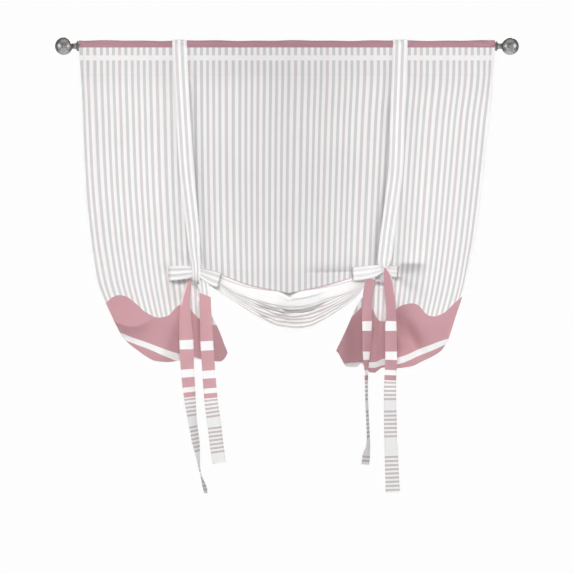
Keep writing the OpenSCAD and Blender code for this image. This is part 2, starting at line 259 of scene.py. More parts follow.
def front_y(s, x, z):
    """Depth of the panel above the swag and ties."""
    hang = ease(-90, -330, z)
    y = hang * (1.5 * np.sin(2 * np.pi * x / 310 + 0.6) + 1.0 * np.sin(2 * np.pi * x / 127 + 2.0 + z / 500))
    # forward to the swag's front fold
    mid = np.clip((s - S_CL) / (S_CR - S_CL), 0, 1)
    reach = np.where((s > S_CL) & (s < S_CR), -13 - 5 * np.sin(np.pi * mid) ** 0.7, 0)
    reach = np.where((s <= S_CL) & (s > S_EL - 40), -13 * ease(S_EL - 30, S_TL + 8, s), reach)
    reach = np.where((s >= S_CR) & (s < S_ER + 40), -13 * ease(S_ER + 30, S_TR - 8, s), reach)
    y = y + reach * ease(-430, -582, z) ** 1.6
    # a pressed cross crease right of the middle, and a ridge right of the right tie
    for x0, x1, zc, amp, up, down in ((20, 150, -578.5 + 0.02 * (x - 110), -6.0, 14, 16), (-190, -120, -566.0, -1.2, 8, 8)):
        w = ease(x0, x0 + 0.6 * (x1 - x0), x) * ease(x1 + 50, x1 + 5, x)
        y = y + w * crease(zc - z, amp, up, down, 5.0)
    y = y + ridge_w(x) * ridge(-557.0 - z, 6.0, 26, 12)
    # the panel tucks in beside the inner edge of each strap
    for edge, far, top in ((tuck_l(z), 1, -60), (tuck_r(z), -1, -150)):
        q = (x - edge) * far
        y = y + 5.5 * ease(top, top - 200, z) * ease(-600, -560, z) * np.where(q > 1, bell(q, 1, 4.5), bell(q, 1, 14))
    return y + gather_y(x, z) * ease(-470, -530, z)


# ---------------------------------------------------------------- panel: grid
def spread(a, b, n):
    return list(np.linspace(a, b, n + 1)[:-1])


cols = (
    [-533.5, -532.6, -528.0, -523.0, -521.8]
    + spread(-518.0, -262.0, 40) + spread(-262.0, S_EL, 14) + spread(S_EL, S_TL, 10) + spread(S_TL, S_CL, 12)
    + spread(S_CL, S_CR, 86)
    + spread(S_CR, S_TR, 12) + spread(S_TR, S_ER, 10) + spread(S_ER, 300.0, 20) + spread(300.0, 518.0, 34)
    + [518.0, 521.8, 523.0, 528.0, 532.6, 533.5]
)
S = np.array(cols)
NC = len(S)
ear_l, ear_r = S <= S_EL + 1e-6, S >= S_ER - 1e-6
turn_l, turn_r = (S > S_EL + 1e-6) & (S < S_TL - 1e-6), (S > S_TR + 1e-6) & (S < S_ER - 1e-6)
mid = ~(ear_l | ear_r | turn_l | turn_r)

# pocket: round the rod from the seam behind to the seam in front, in Y and Z
pocket = np.array([(-1.9, SEAM_Z - 3), (-1.5, SEAM_Z + 3), (4.2, -50), (10.2, -26), (13.4, -8), (13.9, 2), (12.0, 7.8), (7.2, 12.3), (0, 14.3),
                   (-7.2, 12.3), (-12.0, 7.8), (-13.9, 2), (-13.4, -8), (-10.9, -26), (-6.8, -50), (-3.9, SEAM_Z + 3), (-3.4, SEAM_Z), (-3.3, SEAM_Z - 5)])
NP = 32
tau = np.linspace(0, len(pocket) - 1, NP)
pk = through(pocket, tau)
i_seam = int(np.argmin(np.hypot(pk[NP // 2:, 0] + 3.4, pk[NP // 2:, 1] - SEAM_Z))) + NP // 2
P_pocket = np.zeros((NC, NP, 3))
P_pocket[:, :, 0] = lie_x(S[:, None], np.minimum(pk[None, :, 1], 20))
slack_top = 0.7 * np.sin(2 * np.pi * S / 240 + 1.0) + 0.5 * np.sin(2 * np.pi * S / 97 + 0.4)
crown = ease(2, 14, pk[:, 1])[None, :]
pinch = 1 - 0.10 * (bell(S, -275, 22) + bell(S, 290, 22))[:, None] * np.clip(-pk[None, :, 1] / 40, 0, 1)
belly = 1 + 0.06 * np.sin(2 * np.pi * S / 190 + 0.3)[:, None] * bell(pk[None, :, 1], -35, 22)
P_pocket[:, :, 1] = pk[None, :, 0] * pinch * belly
P_pocket[:, :, 2] = pk[None, :, 1] + (slack_top[:, None] - 0.4) * crown

# front, from the seam down to the fold line or the tie's level
NF = 52
z_top = pk[-1, 1]
xs_tie = lie_x(S, np.full(NC, TIE_Z))
z_mid = fold_z(xs_tie) + 11
for _ in range(6):
    xs_mid = lie_x(S, z_mid)
    z_mid = fold_z(xs_mid) + 11
k_l = np.clip((S - S_EL) / (S_TL - S_EL), 0, 1)
k_r = np.clip((S_ER - S) / (S_ER - S_TR), 0, 1)
z_brk = np.where(mid, z_mid, TIE_Z)
for turn, k, s_t in ((turn_l, k_l, S_TL), (turn_r, k_r, S_TR)):
    z_t = float(np.interp(s_t, S, z_mid))
    z_brk = np.where(turn, TIE_Z + (z_t - TIE_Z) * ease(0, 1, k), z_brk)
g = np.linspace(0, 1, NF + 1)[1:]
g = 0.35 * g + 0.65 * (1 - (1 - g) ** 2.2)
Z = z_top + (z_brk - z_top)[:, None] * g[None, :]
X = lie_x(S[:, None], Z)
P_front = np.stack([X, front_y(np.broadcast_to(S[:, None], X.shape), X, Z) + pk[-1, 0] * (1 - ease(-80, -130, Z)), Z], -1)

# below: the tails straight on down, the middle gathered into the swag
N_ROLL, N_FACE, N_BACK = 14, 74, 20
NB = N_ROLL + N_FACE + N_BACK
h = np.linspace(0, 1, NB + 1)[1:]
P_low = np.zeros((NC, NB, 3))


def tail_rows(s, side):
    s = np.atleast_1d(np.asarray(s, float))
    hem = hem_l if side < 0 else hem_r
    z_end = np.full(len(s), -800.0)
    for _ in range(40):
        z_end = 0.5 * z_end + 0.5 * hem(lie_x(s, z_end))
    z = TIE_Z + (z_end - TIE_Z)[:, None] * h[None, :]
    x = lie_x(s[:, None], z)
    blend = ease(-575, -640, z)
    y = front_y(np.broadcast_to(s[:, None], x.shape), x, z) * (1 - blend) + (tail_y(x, z, side) - 3) * blend + gather_y(x, z) * blend
    return np.stack([x, y, z], -1)


P_low[ear_l] = tail_rows(S[ear_l], -1)
P_low[ear_r] = tail_rows(S[ear_r], 1)


def swag_rows(s, x):
    """The swag at columns s that come down at x: front roll, gathered face, and the cloth's end turned up behind."""
    s, x = np.atleast_1d(s).astype(float), np.atleast_1d(x).astype(float)
    # near the ties the columns draw in towards the knot once they are past the front fold
    left = np.clip((S_CL + 26 - s) / (S_CL + 26 - S_TL), 0, 1)
    right = np.clip((s - S_CR + 26) / (S_TR - S_CR + 26), 0, 1)
    x_in = np.where(left > 0, x + (TIE_L - lie_x(S_TL, TIE_Z + 10)) * left ** 1.5, x)
    x_in = np.where(right > 0, x + (TIE_R - lie_x(S_TR, TIE_Z + 10)) * right ** 1.5, x_in)
    mid_k = np.sin(np.pi * np.clip((x_in + 205) / 427, 0, 1))
    yf = front_y(s, x, fold_z(x) + 8)
    kd = 0.70 + 0.30 * mid_k ** 0.6
    zf = fold_z(x)
    roll = np.stack([np.stack([x, yf + dy * kd, zf + dz], -1) for dy, dz in
                     ((-0.6, 6), (-0.7, 2.2), (0.1, 0), (1.0, 0.7), (1.4, 2.2), (1.8, 3.2), (2.2, 2.4), (2.2, 0.5))], 1)
    roll = through(roll, np.linspace(0, 7, N_ROLL))
    # gathered face
    rho = np.linspace(0, 1, N_FACE + 1)[1:][None, :]
    xx = x[:, None] + (x_in - x)[:, None] * ease(0.0, 0.45, rho)
    zf2, zc2 = fold_z(xx), low_z(xx)
    deep = zf2 - zc2
    zz = zf2 + 0.5 - (deep + 0.5) * rho
    d = (zf2 - zz)
    yy = 2.2 - 2.4 * ease(0.0, 0.16, rho) + 2.0 * ease(0.45, 1.0, rho)
    notch = np.clip(1 - np.abs(xx - 5.5) / 24 - np.clip(d, 0, None) / 15, 0, 1)
    yy = yy + 10.0 * ease(0, 0.45, notch)
    yy = yy - 2.6 * np.exp(-((np.abs(xx - 5.5) + 1.6 * d - 31) / 8) ** 2) * bell(d, 9, 10)
    for line, x0, x1, amp, up, down in creases:
        w = ease(x0 - 20, x0 + 20, xx) * ease(x1 + 20, x1 - 20, xx)
        slope = np.abs(line(xx + 3) - line(xx - 3)) / 6
        yy = yy + w * crease(line(xx) - zz, amp, up, down, 1.5 + 2.4 * slope)
    face = np.stack([xx, yf[:, None] + yy * kd[:, None], zz], -1)
    # under and up behind
    zc = low_z(x_in)
    hb = 26 + 96 * mid_k ** 0.8
    y_end = face[:, -1, 1] - yf
    rows = [np.stack([x_in, yf + y_end, zc], -1)]
    for dy, dz in ((1.3, -0.4), (3.2, 0.9), (7.5, 6.0)):
        rows.append(np.stack([x_in, yf + y_end + dy * kd, zc + dz], -1))
    for dy, f in ((12.2, 0.16), (13.0, 0.42), (12.6, 0.72), (12.2, 1.0)):
        rows.append(np.stack([x_in, yf + y_end + dy * kd, zc + f * hb], -1))
    back = through(np.stack(rows, 1), np.linspace(0, len(rows) - 1, N_BACK + 1))[:, 1:]
    return np.concatenate([roll, face, back], 1)


P_low[mid] = swag_rows(S[mid], xs_mid[mid])
for turn, side, s_e, s_t in ((turn_l, -1, S_EL, S_TL), (turn_r, 1, S_ER, S_TR)):
    a = tail_rows([s_e], side)[0]
    b = swag_rows([s_t], [float(np.interp(s_t, S, xs_mid))])[0]
    k = ((S[turn] - s_e) / (s_t - s_e))[:, None, None]
    ks = ease(0, 1, k)
    p = a[None] * (1 - ks) + b[None] * ks
    p[:, :, 1] += ((13 if side < 0 else 24) * np.sin(np.pi * np.clip(k[:, :, 0], 0, 1)) ** (0.8 if side < 0 else 0.6)) * ease(0.05, 0.6, h)[None, :]
    P_low[turn] = p

P = np.concatenate([P_pocket, P_front, P_low], 1)
NR = P.shape[1]
R0, R1 = NP, NP + NF

# ease the joins between the three stretches
for _ in range(2):
    for r in list(range(R0 - 2, R0 + 3)) + list(range(R1 - 2, R1 + 2)):
        w = np.where(mid, 0.0, 0.5)[:, None] if r >= R1 - 2 else 0.5
        P[:, r] = P[:, r] * (1 - w) + 0.5 * (P[:, r - 1] + P[:, r + 1]) * w

# ---------------------------------------------------------------- panel: print fields
step_len = np.linalg.norm(np.diff(P, axis=1), axis=2)
run = np.concatenate([np.zeros((NC, 1)), np.cumsum(step_len, 1)], 1)
seam_run = run[:, i_seam:i_seam + 1]
V = run - seam_run
to_hem = run[:, -1:] - run
cc = int(np.argmin(np.abs(S - 7)))
SV = np.broadcast_to(P[cc, R1 + N_ROLL, 2] - P[cc, :, 2], run.shape).copy()

row = np.arange(NR)
on_roll = (row >= R1 + 4) & (row < R1 + N_ROLL)
on_face = (row >= R1 + N_ROLL) & (row < R1 + N_ROLL + N_FACE + 3)
on_back = row >= R1 + N_ROLL + N_FACE + 3
# stripes run along the swag's face, faint near its top
ZONE = np.zeros((NC, NR))
FADE = np.ones((NC, NR))
in_mid = mid | (turn_l & (k_l > 0.5)) | (turn_r & (k_r > 0.5))
share = np.clip((row - R1 - N_ROLL) / N_FACE, 0, 1)
ZONE[in_mid] = (on_roll | on_face).astype(float)[None, :]
FADE[in_mid] = np.where(on_roll, 0.0, np.where(on_face, 0.05 + 0.80 * ease(0.34, 0.50, share), 1.0))[None, :]

PINK = np.full((NC, NR), -60.0)
WHITE = np.full((NC, NR), -60.0)
x_, y_, z_ = P[..., 0], P[..., 1], P[..., 2]

# the stripes keep to the panel's own narrowing where the cloth is drawn aside
gx = [edge_l(z_)] + [k + f(z_) for k, f in drift] + [edge_r(z_)]
gs = [-HALF_W] + [k for k, f in drift] + [HALF_W]
U = np.broadcast_to(S[:, None], (NC, NR)).copy()
lies = np.broadcast_to(row[None, :] >= NP, (NC, NR)) & ~((row[None, :] >= R1 + N_ROLL) & mid[:, None])
inner_cols = (np.abs(S) < 505)[:, None]
for a, b, sa, sb in zip(gx[:-1], gx[1:], gs[:-1], gs[1:]):
    inside = lies & inner_cols & (x_ >= a) & (x_ <= b)
    U = np.where(inside, sa + (sb - sa) * (x_ - a) / (b - a), U)
front_pk = np.arange(NP)[None, :] >= NP // 2
PINK[:, :NP] = np.where(front_pk, z_[:, :NP] + 4.6, z_[:, :NP] + 12.0)
WHITE[:, :NP] = np.where(front_pk, 7.4 - np.abs(z_[:, :NP] + 31.8), -60)
for ear, wave, white, half in ((ear_l, wave_l, white_l, band_l), (ear_r, wave_r, white_r, band_r)):
    xx, zz = x_[ear][:, R1:], z_[ear][:, R1:]
    PINK[ear, R1:] = wave(xx) - zz
    WHITE[ear, R1:] = half(xx) - np.abs(zz - white(xx)) * 0.94
    zz = z_[ear][:, NP:R1]
    PINK[ear, NP:R1] = np.minimum(wave(x_[ear][:, NP:R1]) - zz, -3)
hm = to_hem[mid]
pm = np.full(hm.shape, -60.0)
pm[:, on_back] = (74 + 20 * np.cos(2 * np.pi * S[mid] / 168 + 1.0)[:, None] - hm[:, on_back])
PINK[mid] = np.maximum(PINK[mid], pm)
wm = np.full(hm.shape, -60.0)
wm[:, on_back] = 6.2 - np.abs(hm[:, on_back] - 29)
WHITE[mid] = np.maximum(WHITE[mid], wm)
for turn, s_e, s_t in ((turn_l, S_EL, S_TL), (turn_r, S_ER, S_TR)):
    je, jt = int(np.argmin(np.abs(S - s_e))), int(np.argmin(np.abs(S - s_t)))
    for j in np.where(turn)[0]:
        k = (S[j] - s_e) / (s_t - s_e)
        PINK[j, R1:] = (-713.0 if s_e < 0 else -682.0) - z_[j, R1:]
        WHITE[j, R1:] = WHITE[je, R1:] - 60 * k
# thin rosy line along the swag's front fold
EDGE = np.full((NC, NR), 60.0)
EDGE[mid] = (np.abs(run - run[:, R1 + 3:R1 + 4]))[mid]
below = fold_z(x_) - z_
apart = np.maximum(ease(-10, -150, x_), ease(25, 165, x_))
second = np.abs(below - 7.4 * apart) + 40 * (apart < 0.1)
EDGE = np.where(mid[:, None] & on_face[None, :], np.minimum(EDGE, second), EDGE)

# painted light and shade on the panel's cloth: paler towards the sides, lighter on the swag's face, darker in creases,
# beside the straps, inside the tails' lobes and behind the knots
SHADE = 0.885 + 0.145 * ease(0, 420, np.abs(U - 8))
lower = row[None, :] >= R1
face = mid[:, None] & on_face[None, :]
SHADE = np.where(face, 1.055, SHADE)
# the print fades where the swag narrows to its ends, and the painted shade of its creases weakens there
side = np.maximum(ease(-45, -150, x_), ease(70, 190, x_))
FADE = np.where(face, FADE * (1 - 0.42 * side), FADE)
# painted shade along each swag crease: above the line where the lower side stands in front, with a faint painted
# highlight just below it, and below the line where the upper side stands in front
for line, x0, x1, amp, up, down in creases:
    w = ease(x0 - 20, x0 + 20, x_) * ease(x1 + 20, x1 - 20, x_)
    d = line(x_) - z_
    soft = 1.6 + 1.6 * np.abs(line(x_ + 3) - line(x_ - 3)) / 6
    if amp < 0:
        dark = min(-0.092 * amp, 0.6) * np.exp(np.minimum(d, 0) / (0.55 * up)) * ease(soft, -0.2, d) - min(-0.012 * amp, 0.07) * np.exp(-np.maximum(d, 0) / 5) * ease(0.0, soft + 0.4, d)
    else:
        dark = min(0.05 * amp, 0.3) * np.exp(-np.maximum(d, 0) / (0.6 * down)) * ease(-1.6, -0.2, d)
    SHADE = np.where(face, SHADE * (1 - w * dark * (1 - 0.4 * side)), SHADE)
    # a deep fold hides a little of the print, so the lines jump there
    if amp < -4:
        SV = np.where(face, SV + 3.4 * w * ease(-1.0, 1.0, d) * np.exp(-np.maximum(d, 0) / 11), SV)
# painted shade in the V notch at the middle of the swag's top
d = fold_z(x_) - z_
SHADE = np.where(face, SHADE * (1 - 0.22 * ease(0, 0.4, np.clip(1 - np.abs(x_ - 5.5) / 24 - np.clip(d, 0, None) / 15, 0, 1))), SHADE)
# painted shade above the pressed cross crease right of the middle
hang = (row[None, :] >= NP) & ~face
d = -578.5 + 0.02 * (x_ - 110) - z_
SHADE = np.where(hang, SHADE * (1 - 0.34 * ease(20, 98, x_) * ease(200, 160, x_) * np.exp(np.minimum(d, 0) / 9) * ease(2.5, 0.5, d)), SHADE)
# painted shade below the ridge right of the right tie
d = -557.0 - z_
SHADE = np.where(hang, SHADE * (1 - 0.34 * ridge_w(x_) * np.exp(-np.maximum(d, 0) / 32) * ease(-1.5, 1.0, d)), SHADE)
# painted shade lines beside the inner edge of each strap
q = x_ - tuck_l(z_)
SHADE = np.where(hang & (z_ > -575), SHADE * (1 - 0.42 * bell(q, 0.4, 2.3) * ease(-50, -140, z_)), SHADE)
q = tuck_r(z_) - x_
SHADE = np.where(hang & (z_ > -575), SHADE * (1 - (0.36 * bell(q, 0.4, 2.9) + 0.15 * bell(q, 5, 7) * bell(z_, -455, 70)) * ease(-90, -180, z_)), SHADE)
# painted shade on the tails' cloth: inside the inner lobes, beside the ties' hanging ends, and in streaks over the
# gathers left of the left tie
SHADE = np.where(lower & ~face, SHADE * (1 - 0.08 * ease(-226, -206, x_) * ease(-100, -130, x_) * ease(-640, -690, z_)
                                         - 0.17 * ease(208, 190, x_) * ease(100, 120, x_) * ease(-650, -700, z_)
                                         - 0.18 * bell(x_, 236, 22) * ease(-670, -710, z_)
                                         - 0.20 * bell(x_, 286, 16) * ease(-650, -690, z_) * ease(-800, -770, z_)
                                         - 0.17 * bell(x_, -286, 20) * bell(z_, -638, 26) * (0.65 + 0.35 * np.sin(x_ / 2.2))
                                         - 0.06 * bell(x_, -285, 28) * ease(-690, -730, z_)), SHADE)
# painted shade: the front a little darker towards its top
SHADE = np.where((z_ < -6) & ~lower, SHADE * (1 - 0.03 * ease(-130, -60, z_)), SHADE)
# painted shade in the hollow behind the left knot
SHADE = np.where(lower, SHADE * (1 - 0.5 * bell(x_, -208, 7) * bell(z_, -609, 5)), SHADE)
# painted shade below the lip of the left tail
d = lip_l(x_) - z_
SHADE = np.where(lower & ear_l[:, None], SHADE * (1 - 0.18 * ease(-480, -440, x_) * ease(-320, -380, x_) * np.exp(-np.maximum(d, 0) / 26) * ease(-3, 3, d)), SHADE)


# ---------------------------------------------------------------- meshes
def shell_from_grid(name, P, thick, fields, uv, mats):
    """Closed cloth shell from a grid (columns, rows, 3) in mm. Slot 0 is the face, slot 1 the reverse."""
    nc, nr = P.shape[:2]
    du = np.gradient(P, axis=0)
    dv = np.gradient(P, axis=1)
    n = np.cross(du, dv)
    for _ in range(2):
        n /= np.maximum(np.linalg.norm(n, axis=2, keepdims=True), 1e-9)
        m = n.copy()
        m[1:] += 0.5 * n[:-1]
        m[:-1] += 0.5 * n[1:]
        m[:, 1:] += 0.5 * n[:, :-1]
        m[:, :-1] += 0.5 * n[:, 1:]
        n = m
    n /= np.maximum(np.linalg.norm(n, axis=2, keepdims=True), 1e-9)
    t = np.asarray(thick)[..., None] * 0.5
    verts = np.concatenate([(P - n * t).reshape(-1, 3), (P + n * t).reshape(-1, 3)]) * MM
    off = nc * nr
    idx = np.arange(off).reshape(nc, nr)
    a, b, c, d = idx[:-1, :-1], idx[1:, :-1], idx[1:, 1:], idx[:-1, 1:]
    face = np.stack([a, d, c, b], -1).reshape(-1, 4)[:, ::-1]
    back = face[:, ::-1] + off
    rim = []
    for line, flip in ((idx[:, 0], True), (idx[-1, :], True), (idx[::-1, -1], True), (idx[0, ::-1], True)):
        p, q = line[:-1], line[1:]
        rim.append(np.stack([p, p + off, q + off, q], -1))
    rim = np.concatenate(rim)
    # outward means away from the sheet: face normals point along -n on the front
    test = np.cross(verts[face[0][1]] - verts[face[0][0]], verts[face[0][2]] - verts[face[0][0]])
    if np.dot(test, -n[0, 0]) < 0:
        face, back = face[:, ::-1], back[:, ::-1]
        rim = rim[:, ::-1]
    faces = np.concatenate([face, back, rim])
    return build(name, verts, faces, [len(face), len(back), len(rim)], fields, uv, mats)


def build(name, verts, faces, parts, fields, uv, mats, slots=(0, 1, 0)):
    me = bpy.data.meshes.new(name)
    me.vertices.add(len(verts))
    me.vertices.foreach_set("co", verts.astype(np.float32).ravel())
    nf = len(faces)
    me.loops.add(nf * 4)
    me.loops.foreach_set("vertex_index", faces.astype(np.int32).ravel())
    me.polygons.add(nf)
    me.polygons.foreach_set("loop_start", np.arange(0, nf * 4, 4, dtype=np.int32))
    me.polygons.foreach_set("loop_total", np.full(nf, 4, np.int32))
    slot = np.concatenate([np.full(k, v, np.int32) for k, v in zip(parts, slots)])
    me.polygons.foreach_set("material_index", slot)
    me.polygons.foreach_set("use_smooth", np.ones(nf, bool))
    layer = me.uv_layers.new(name="cloth")
    uvv = np.asarray(uv, np.float32)[faces.ravel()]
    layer.data.foreach_set("uv", uvv.ravel())
    for key, val in fields.items():
        at = me.attributes.new(key, "FLOAT", "POINT")
        at.data.foreach_set("value", np.asarray(val, np.float32).ravel())
    for m in mats:
        me.materials.append(m)
    me.validate()
    me.update()
    me.set_sharp_from_angle(angle=math.radians(70))
    ob = bpy.data.objects.new(name, me)
    bpy.context.scene.collection.objects.link(ob)
    return ob


# ---------------------------------------------------------------- materials
class Nodes:
    """Small helper to write node trees as expressions."""

    def __init__(self, name):
        self.mat = bpy.data.materials.new(name)
        self.mat.use_nodes = True
        self.t = self.mat.node_tree
        self.t.nodes.clear()
        self.out = self.t.nodes.new("ShaderNodeOutputMaterial")
        self.bsdf = self.t.nodes.new("ShaderNodeBsdfPrincipled")
        self.t.links.new(self.bsdf.outputs[0], self.out.inputs[0])

    def link(self, a, b):
        if hasattr(a, "is_output"):
            self.t.links.new(a, b)
        else:
            b.default_value = a

    def math(self, op, a, b=0.0, c=None, clamp=False):
        n = self.t.nodes.new("ShaderNodeMath")
        n.operation = op
        n.use_clamp = clamp
        self.link(a, n.inputs[0])
        self.link(b, n.inputs[1])
        if c is not None:
            self.link(c, n.inputs[2])
        return n.outputs[0]

    def add(self, a, b):
        return self.math("ADD", a, b)

    def sub(self, a, b):
        return self.math("SUBTRACT", a, b)

    def mul(self, a, b):
        return self.math("MULTIPLY", a, b)

    def step(self, v, lo, hi, a=0.0, b=1.0):
        n = self.t.nodes.new("ShaderNodeMapRange")
        n.interpolation_type = "SMOOTHSTEP"
        self.link(v, n.inputs[0])
        for i, x in enumerate((lo, hi, a, b)):
            self.link(x, n.inputs[i + 1])
        return n.outputs[0]

    def mix(self, f, a, b):
        n = self.t.nodes.new("ShaderNodeMix")
        n.data_type = "RGBA"
        self.link(f, n.inputs[0])
        for s, x in ((n.inputs[6], a), (n.inputs[7], b)):
            self.link(x if hasattr(x, "is_output") else (*x, 1.0), s)
        return n.outputs[2]

    def attr(self, name):
        n = self.t.nodes.new("ShaderNodeAttribute")
        n.attribute_name = name
        return n.outputs["Fac"]

    def uv(self):
        n = self.t.nodes.new("ShaderNodeUVMap")
        n.uv_map = "cloth"
        s = self.t.nodes.new("ShaderNodeSeparateXYZ")
        self.t.links.new(n.outputs[0], s.inputs[0])
        return n.outputs[0], self.mul(s.outputs[0], 1000.0), self.mul(s.outputs[1], 1000.0)

    def vec(self, x, y, z=0.0):
        n = self.t.nodes.new("ShaderNodeCombineXYZ")
        for i, v in enumerate((x, y, z)):
            self.link(v, n.inputs[i])
        return n.outputs[0]

    def noise(self, vec, scale, detail=2.0, rough=0.5, dim="3D"):
        n = self.t.nodes.new("ShaderNodeTexNoise")
        n.noise_dimensions = dim
        self.t.links.new(vec, n.inputs["Vector"])
        n.inputs["Scale"].default_value = scale
        n.inputs["Detail"].default_value = detail
        n.inputs["Roughness"].default_value = rough
        return n.outputs["Fac"]

    def obj(self):
        n = self.t.nodes.new("ShaderNodeTexCoord")
        return n.outputs["Object"]

    def white(self, w):
        n = self.t.nodes.new("ShaderNodeTexWhiteNoise")
        n.noise_dimensions = "1D"
        self.link(w, n.inputs["W"])
        return n.outputs["Value"]

    def bump(self, height, strength, dist, normal=None):
        n = self.t.nodes.new("ShaderNodeBump")
        n.inputs["Strength"].default_value = strength
        n.inputs["Distance"].default_value = dist
        self.t.links.new(height, n.inputs["Height"])
        if normal is not None:
            self.t.links.new(normal, n.inputs["Normal"])
        return n.outputs[0]

    def set(self, **kw):
        for k, v in kw.items():
            s = self.bsdf.inputs[k.replace("_", " ")]
            self.link((*v, 1.0) if isinstance(v, tuple) and len(v) == 3 else v, s)


CLOTH = (0.930, 0.922, 0.920)
CLOTH_TIE = (0.985, 0.976, 0.976)
GREY = (0.662, 0.652, 0.656)
GREYPINK = (0.697, 0.636, 0.647)
BEIGE = (0.560, 0.505, 0.470)
ROSY = (0.640, 0.505, 0.515)
PINK_LIN = (0.590, 0.328, 0.359)
PINK_TOP = (0.460, 0.250, 0.298)


def stripes(n, c, pitch, start, dark, soft=0.35, repeat=0, spread=False):
    """Mask of stripes of width dark at every pitch along c, and a number that differs from stripe to stripe."""
    q = n.math("DIVIDE", n.sub(c, start), pitch)
    d = n.mul(n.math("ABSOLUTE", n.sub(n.math("FRACT", q), 0.5)), pitch)
    mask = n.step(d, dark / 2 + soft, dark / 2 - soft)
    k = n.math("FLOOR", q)
    if repeat:
        k = n.math("FLOORED_MODULO", k, float(repeat))
    return mask, n.math("FRACT", n.add(n.mul(k, 0.618), 0.2)) if spread else n.white(n.add(k, 0.37))


def weave(n, uvv, u, v, wrinkle):
    """Plain weave with slubs, and soft handling creases; returns a normal and a slow tone."""
    a = n.math("SINE", n.mul(u, 2 * math.pi / 0.9))
    b = n.math("SINE", n.mul(v, 2 * math.pi / 0.9))
    web = n.mul(a, b)
    slub_w = n.noise(n.vec(n.mul(u, 0.02), n.mul(v, 1.4)), 1.0, 3.0, 0.6)
    slub_u = n.noise(n.vec(n.mul(u, 1.4), n.mul(v, 0.02)), 1.0, 3.0, 0.6)
    slub = n.add(slub_w, slub_u)
    crease = n.noise(n.vec(n.mul(u, 0.011), n.mul(v, 0.016)), 1.0, 3.0, 0.45)
    nor = n.bump(crease, 0.35, wrinkle)
    nor = n.bump(slub, 0.18, 0.0004, nor)
    nor = n.bump(web, 0.12, 0.0003, nor)
    tone = n.noise(n.vec(n.mul(u, 0.006), n.mul(v, 0.006)), 1.0, 2.0, 0.5)
    return nor, slub, tone


def stitch(n, across, along, pitch=3.4, half=0.45):
    """Mask of a run of stitches on the line across = 0."""
    line = n.step(n.math("ABSOLUTE", across), half + 0.25, half - 0.15)
    gap = n.math("ABSOLUTE", n.sub(n.math("FRACT", n.math("DIVIDE", along, pitch)), 0.5))
    return n.mul(line, n.step(gap, 0.42, 0.34))


def cloth_finish(n, col, slub, tone, nor, painted_shade=None):
    shade = n.step(slub, 0.7, 1.3, 0.975, 1.02)
    # painted shade given by the piece darkens the colour here
    if painted_shade is not None:
        shade = n.mul(shade, painted_shade)
    shade = n.mul(shade, n.step(tone, 0.3, 0.7, 0.985, 1.01))
    m = n.t.nodes.new("ShaderNodeVectorMath")
    m.operation = "SCALE"
    n.t.links.new(col, m.inputs[0])
    n.t.links.new(shade, m.inputs["Scale"])
    n.link(m.outputs[0], n.bsdf.inputs["Base Color"])
    n.link(n.step(slub, 0.6, 1.4, 0.86, 0.74), n.bsdf.inputs["Roughness"])
    n.link(nor, n.bsdf.inputs["Normal"])
    n.bsdf.inputs["Specular IOR Level"].default_value = 0.28
    n.bsdf.inputs["Sheen Weight"].default_value = 0.10
    n.bsdf.inputs["Sheen Roughness"].default_value = 0.45


def panel_material(name, reverse):
    n = Nodes(name)
    uvv, u, v = n.uv()
    zone, sv = n.attr("zone"), n.attr("along_v")
    pink, white, fade = n.attr("pink"), n.attr("white"), n.attr("fade")
    # the print repeats every 11 stripes, which are not quite evenly spaced
    ph = n.mul(n.add(n.add(u, 525.6), -24.0), 2 * math.pi / 177.4)
    uw = n.sub(u, n.add(n.mul(n.math("SINE", ph), 1.3), n.mul(n.math("SINE", n.mul(ph, 2.0)), 0.8)))
    m1, r1 = stripes(n, uw, 16.13, -525.6 - 8.06, 7.5, 0.9, 11, True)
    m2, r2 = stripes(n, sv, 8.4, -2.2, 3.4, 0.6)
    z = n.step(zone, 0.45, 0.55)
    mask = n.add(n.mul(m1, n.sub(1.0, z)), n.mul(m2, z))
    rnd = n.add(n.mul(r1, n.sub(1.0, z)), n.mul(n.mul(r2, 1.0), z))
    mask = n.mul(mask, fade)
    plain = n.step(white, -0.5, 0.5)
    mask = n.mul(mask, n.sub(1.0, plain))
    mask = n.mul(mask, 0.32 if reverse else 1.0)
    grey = n.mix(n.step(rnd, 0.32, 1.0), GREY, GREYPINK)
    line = n.mix(n.step(rnd, 0.4, 0.6), BEIGE, ROSY)
    ink = n.mix(z, grey, line)
    # the white between stripes is faintly warm or rosy in places
    tint = n.mix(n.step(n.white(n.math("FLOOR", n.math("DIVIDE", n.add(u, 600.0), 16.13))), 0.55, 1.0, 0.0, 0.5), CLOTH, (0.924, 0.868, 0.866))
    col = n.mix(mask, tint, ink)
    if not reverse:
        col = n.mix(n.step(n.attr("fold"), 2.0, 0.8, 0.0, 0.75), col, (0.68, 0.53, 0.55))
    top = n.step(v, -40.0, -60.0)
    rose = n.mix(top, PINK_LIN, PINK_TOP)
    if reverse:
        rose = n.mix(0.55, CLOTH, rose)
    pk = n.mul(n.step(pink, -0.6, 0.6), n.sub(1.0, plain))
    col = n.mix(pk, col, rose)
    st = n.math("MAXIMUM", stitch(n, v, u), stitch(n, n.sub(n.math("ABSOLUTE", u), 522.4), v))
    st = n.math("MAXIMUM", st, stitch(n, n.sub(n.attr("to_hem"), 17.0), u))
    col = n.mix(n.mul(st, 0.38), col, (0.62, 0.58, 0.58))
    nor, slub, tone = weave(n, uvv, u, v, 0.0035)
    nor = n.bump(n.mul(st, -1.0), 0.5, 0.0006, nor)
    cloth_finish(n, col, slub, tone, nor, n.attr("shade"))
    return n.mat


